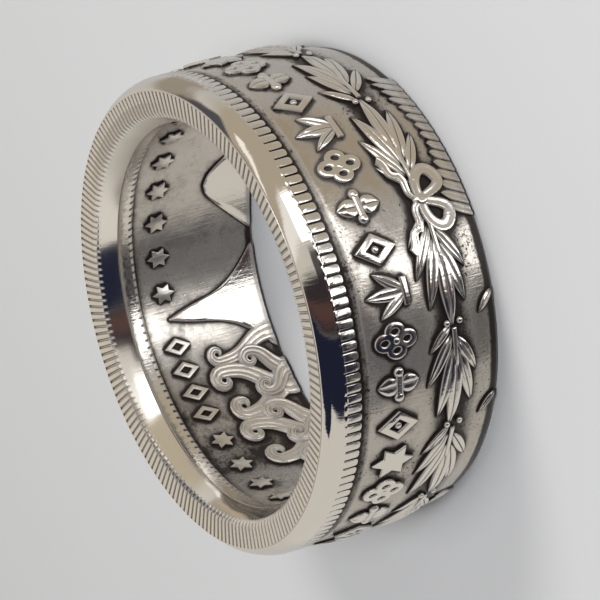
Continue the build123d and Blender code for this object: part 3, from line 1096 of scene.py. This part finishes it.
def surfaceMap(sheet):
    # what the looks depend on: the place on the ring, masks from 0 to 1 and the noises
    f = silverFinish
    place = sheet.add("ShaderNodeTexCoord", None, 3)
    x = sheet.add("ShaderNodeSeparateXYZ", i0=place)
    y, z = x.beside(1), x.beside(2)
    r = ((x * x + y * y) ** 0.5) * (1 / mm)
    turn = y.math("ARCTAN2", x)
    m = SimpleNamespace(bearing=turn * (180 / math.pi), depth=bandShape["width"] - z * (1 / mm))
    m.outside = r.ramp(*zones["outsideR"])
    m.inside = 1 - m.outside
    m.raised = blended(m.outside, (innerRadius(m.depth) - r).ramp(*zones["raisedInside"]),
                       (r - fieldRadius(m.depth)).ramp(*zones["raisedOutside"]))
    m.belowRim = m.depth.ramp(*zones["rimDepth"])
    m.belowDentils = m.depth.ramp(*zones["dentilDepth"])
    m.polish = 1 - blended(m.outside, m.depth.ramp(*zones["rollDepth"]), m.belowRim)
    m.field = m.belowDentils * (1 - m.raised) * (bandShape["width"] - m.depth).ramp(*zones["footHeight"])
    faceDrop = (bandShape["faceOuterR"] - r) * bandShape["faceSlope"]
    m.face = 1 - (m.depth - faceDrop).ramp(*zones["faceDepth"])
    clear = sheet.add("ShaderNodeAmbientOcclusion", {"samples": 24}, 1, Distance=tarnishAndShade["cavityReach"])
    m.cavity = (1 - clear).clamp()
    along = sheet.add("ShaderNodeCombineXYZ", X=turn * (f["brushR"] * mm), Y=z * f["brushAcross"],
                      Z=r * (f["brushThrough"] * mm))
    m.broad, m.fine = sheet.noise(place, f["broad"]), sheet.noise(place, f["fine"])
    m.grain, m.wave = sheet.noise(place, f["grain"]), sheet.noise(place, f["wave"])
    m.brushed = sheet.noise(along, f["brushed"])
    return m


def tarnishAndShadeShare(m):
    # how far the tarnish covers the metal, with the painted shade of the outside added in
    t = tarnishAndShade
    mottle = blended(t["mottleBroad"], m.fine, m.broad)
    specks = blended(t["speckGrain"], m.broad, m.grain).ramp(*t["speckFrom"])
    specks = specks * blended(m.outside, t["speckInside"], t["speckOutside"])
    bandsAndShade = m.inside * t["insideDark"]
    for middle, half, strength in t["bands"]:
        away = (m.depth - middle).math("ABSOLUTE")
        bandsAndShade = bandsAndShade + m.outside * (1 - away.ramp(t["bandFull"] * half, half)) * strength
    # painted shade on the outside and stains on the inside
    for side, stainsAndShade in ((m.outside, t["outerPaintedShade"]), (m.inside, t["innerStains"])):
        for middle, half, strength in stainsAndShade:
            bandsAndShade = bandsAndShade + side * turnedFrom(m.bearing, middle, half) * strength
    bandsAndShade = bandsAndShade * (t["bandLeast"] + t["bandMottle"] * mottle + t["bandGrain"] * m.grain)
    field = m.field * (mottle.ramp(*t["mottleFrom"]) * t["mottleDark"] + specks + bandsAndShade)
    halo = (m.cavity + (mottle - 0.5) * t["haloRagged"]).ramp(*t["haloFrom"]) * (1 - m.polish)
    halo = halo * t["haloDark"] * (1 - m.raised * t["haloSparesRaised"])
    reeds = m.cavity.ramp(*t["reedFrom"]) * (1 - m.belowRim) * t["reedDark"]
    gaps = m.outside * m.belowRim * (1 - m.belowDentils) * (1 - m.raised) * t["gapDark"]
    return (field + halo + reeds + gaps).clamp()


def silverColour(sheet, m, patinaAndShade):
    f = silverFinish
    bright = sheet.mixColour(m.polish * m.inside, f["metal"], f["rollMetal"])
    dull = sheet.mixColour(m.outside, f["insideMetal"], f["fieldMetal"])
    metal = sheet.mixColour(m.field * f["fieldShare"], sheet.mixColour(m.face, bright, f["faceMetal"]), dull)
    return sheet.mixColour(patinaAndShade, metal, f["patinaAndShade"])


def silverRoughness(m, patinaAndShade):
    f = silverFinish
    scuffed = turnedFrom(m.bearing, *f["scuff"]) * f["scuffRough"] + f["rollRough"]
    rough = blended(m.polish, f["reliefRough"], blended(m.outside, scuffed, f["polishRough"]))
    fieldRough = blended(m.outside, f["insideRough"], f["fieldRough"]) + (m.broad - 0.5) * f["broadRough"]
    rough = rough + m.face * f["faceRough"] + m.field * (fieldRough - f["reliefRough"])
    rough = rough + (m.fine - 0.5) * f["fineRough"] * (1 - m.polish * f["fineCalm"])
    shield = turnedFrom(m.bearing, *f["shields"]) * m.depth.ramp(*zones["shieldDepth"])
    insideRelief = m.raised * m.inside * m.belowDentils
    rough = rough + insideRelief * (f["insideReliefRough"] - f["shieldPolish"] * shield)
    return blended(patinaAndShade, rough, f["patinaRough"]).clamp()


def silverHeight(m):
    f = silverFinish
    marks = m.fine * f["bumpFine"] + m.broad * f["bumpBroad"] + m.brushed * f["bumpBrushed"]
    marks = marks * (1 - f["bumpCalm"] * m.polish)
    return marks + m.wave * f["bumpWave"] * (1 - m.raised * (1 - m.polish))


def silverMaterial():
    f = silverFinish
    material = bpy.data.materials.new("oldSilver")
    material.use_nodes = True
    sheet = Sheet(material.node_tree)
    m = surfaceMap(sheet)
    # tarnish, with painted shade on one stretch of the outside
    patinaAndShade = tarnishAndShadeShare(m)
    bump = sheet.add("ShaderNodeBump", Strength=f["bumpStrength"], Distance=f["bumpDistance"],
                     Height=silverHeight(m))
    shader = sheet.add("ShaderNodeBsdfPrincipled", Base_Color=silverColour(sheet, m, patinaAndShade), Normal=bump,
                       Metallic=1 - patinaAndShade * f["patinaDulls"], Roughness=silverRoughness(m, patinaAndShade))
    out = material.node_tree.nodes.new("ShaderNodeOutputMaterial")
    material.node_tree.links.new(shader.socket, out.inputs["Surface"])
    return material


ringBand.data.materials.clear()
ringBand.data.materials.append(silverMaterial())
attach(ringBand, "root")
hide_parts("ring_band")

print("studio")

# Floor, lamps and the room that the silver mirrors
studio = {
    "floorHalf": 1.2,
    "floorColour": (0.20, 0.202, 0.204, 1),
    "floorRough": 0.7,
    "roomColour": (0.66, 0.625, 0.56, 1),
    # the room fades to this colour over these elevations
    "lowColour": (0.5, 0.5, 0.5, 1),
    "fade": (-60, 60),
    # between these elevations a panel moves from its low azimuth to its high one
    "bend": (-31, -8),
    # panels of the room, in degrees: azimuth of the middle low down and high up, elevation of the middle,
    # full width and height, softness of the edge, then the colour
    "panels": (
        (172, 172, 0, 84, 170, 20, (0.67, 0.645, 0.60, 1)),
        (-30, -20, 0, 60, 170, 16, (0.47, 0.41, 0.32, 1)),
        (38, 38, 15, 24, 70, 10, (0.36, 0.32, 0.26, 1)),
        (30, 30, 54, 44, 64, 8, (0.09, 0.09, 0.105, 1)),
        (-9, -9, 46, 9, 34, 3, (1.1, 1.06, 0.97, 1)),
        (-130, -129, -56, 50, 50, 6, (0.085, 0.078, 0.076, 1)),
        (-86, -82, 0, 14, 26, 5, (0.10, 0.09, 0.09, 1)),
        (-99, -99, 29, 28, 120, 7, (0.036, 0.030, 0.034, 1)),
        (-130, -130.5, 29, 37, 120, 2, (0.014, 0.017, 0.037, 1)),
        (-102, -102, 26, 10, 114, 7, (0.095, 0.052, 0.046, 1)),
        (-159, -159, 60, 24, 50, 2, (0.014, 0.017, 0.037, 1)),
        (-56, -56, 52, 24, 70, 10, (0.95, 0.93, 0.88, 1)),
        (-93, -58, -28, 20, 104, 6, (3.1, 3.1, 3.07, 1)),
    ),
    # name, azimuth and elevation in degrees, distance and size in metres, power in watts, colour
    "lamps": (
        ("keyLight", -12, 40, 0.4, 0.14, 2.1, (1, 0.975, 0.93)),
        ("fillLight", -88, 52, 0.4, 0.16, 2.9, (0.955, 0.965, 1.0)),
        ("topLight", 0, 86, 0.5, 0.2, 1.8, (1, 1, 1)),
    ),
}


def buildFloor():
    bm = bmesh.new()
    bmesh.ops.create_grid(bm, x_segments=1, y_segments=1, size=studio["floorHalf"])
    floor = objectOf(meshOf(bm, "floor"), "floor")
    material = bpy.data.materials.new("paleFloor")
    material.use_nodes = True
    shader = material.node_tree.nodes["Principled BSDF"]
    shader.inputs["Base Color"].default_value = studio["floorColour"]
    shader.inputs["Roughness"].default_value = studio["floorRough"]
    floor.data.materials.append(material)
    floor.visible_glossy = False


def buildRoom():
    world = bpy.data.worlds.new("room")
    bpy.context.scene.world = world
    world.use_nodes = True
    sheet = Sheet(world.node_tree)
    way = sheet.add("ShaderNodeTexCoord", None, 0)
    x = sheet.add("ShaderNodeSeparateXYZ", i0=way)
    y, z = x.beside(1), x.beside(2)
    azimuth = y.math("ARCTAN2", x) * (180 / math.pi)
    elevation = z.math("ARCSINE") * (180 / math.pi)
    colour = sheet.mixColour(elevation.ramp(*studio["fade"]), studio["lowColour"], studio["roomColour"])
    bend = elevation.ramp(*studio["bend"])
    for low, high, level, width, height, edge, tint in studio["panels"]:
        turn = ((azimuth - (bend * (high - low) + low) + 540).math("MODULO", 360.0) - 180).math("ABSOLUTE")
        rise = (elevation - level).math("ABSOLUTE")
        inside = (1 - turn.ramp((width - edge) / 2, (width + edge) / 2)) * (
            1 - rise.ramp((height - edge) / 2, (height + edge) / 2))
        colour = sheet.mixColour(inside, colour, tint)
    back = sheet.add("ShaderNodeBackground", Color=colour, Strength=1.0)
    out = world.node_tree.nodes.new("ShaderNodeOutputWorld")
    world.node_tree.links.new(back.socket, out.inputs["Surface"])


def wayTo(azimuth, elevation):
    a, e = math.radians(azimuth), math.radians(elevation)
    return Vector((math.cos(a) * math.cos(e), math.sin(a) * math.cos(e), math.sin(e)))


def softLight(name, azimuth, elevation, distance, size, power, colour):
    # a soft disc of light that lights the floor and the tarnish, and that the silver doesn't mirror
    lamp = bpy.data.lights.new(name, "AREA")
    lamp.shape = "DISK"
    lamp.size = size
    lamp.energy = power
    lamp.color = colour
    thing = bpy.data.objects.new(name, lamp)
    way = wayTo(azimuth, elevation)
    thing.location = way * distance
    thing.rotation_mode = "QUATERNION"
    thing.rotation_quaternion = way.to_track_quat("Z", "Y")
    thing.visible_glossy = False
    bpy.context.scene.collection.objects.link(thing)


buildFloor()
buildRoom()
for lamp in studio["lamps"]:
    softLight(*lamp)

# The photograph's view: azimuth, elevation and roll in degrees, distance and aim in mm
photoView = {
    "azimuth": -90.13,
    "elevation": 28.94,
    "roll": 105.9,
    "distance": 131.2,
    "aim": (-0.41, -0.55, 4.31),
    "lens": 146.7,
}


def buildCamera():
    v = photoView
    data = bpy.data.cameras.new("camera")
    data.lens = v["lens"]
    data.clip_start = 0.01
    data.clip_end = 10.0
    camera = bpy.data.objects.new("camera", data)
    back = wayTo(v["azimuth"], v["elevation"])
    camera.location = (Vector(v["aim"]) + back * v["distance"]) * mm
    level = back.to_track_quat("Z", "Y")
    camera.rotation_mode = "QUATERNION"
    camera.rotation_quaternion = Quaternion(back, -math.radians(v["roll"])) @ level
    bpy.context.scene.collection.objects.link(camera)
    bpy.context.scene.camera = camera


buildCamera()
bpy.context.scene.view_settings.view_transform = "Standard"
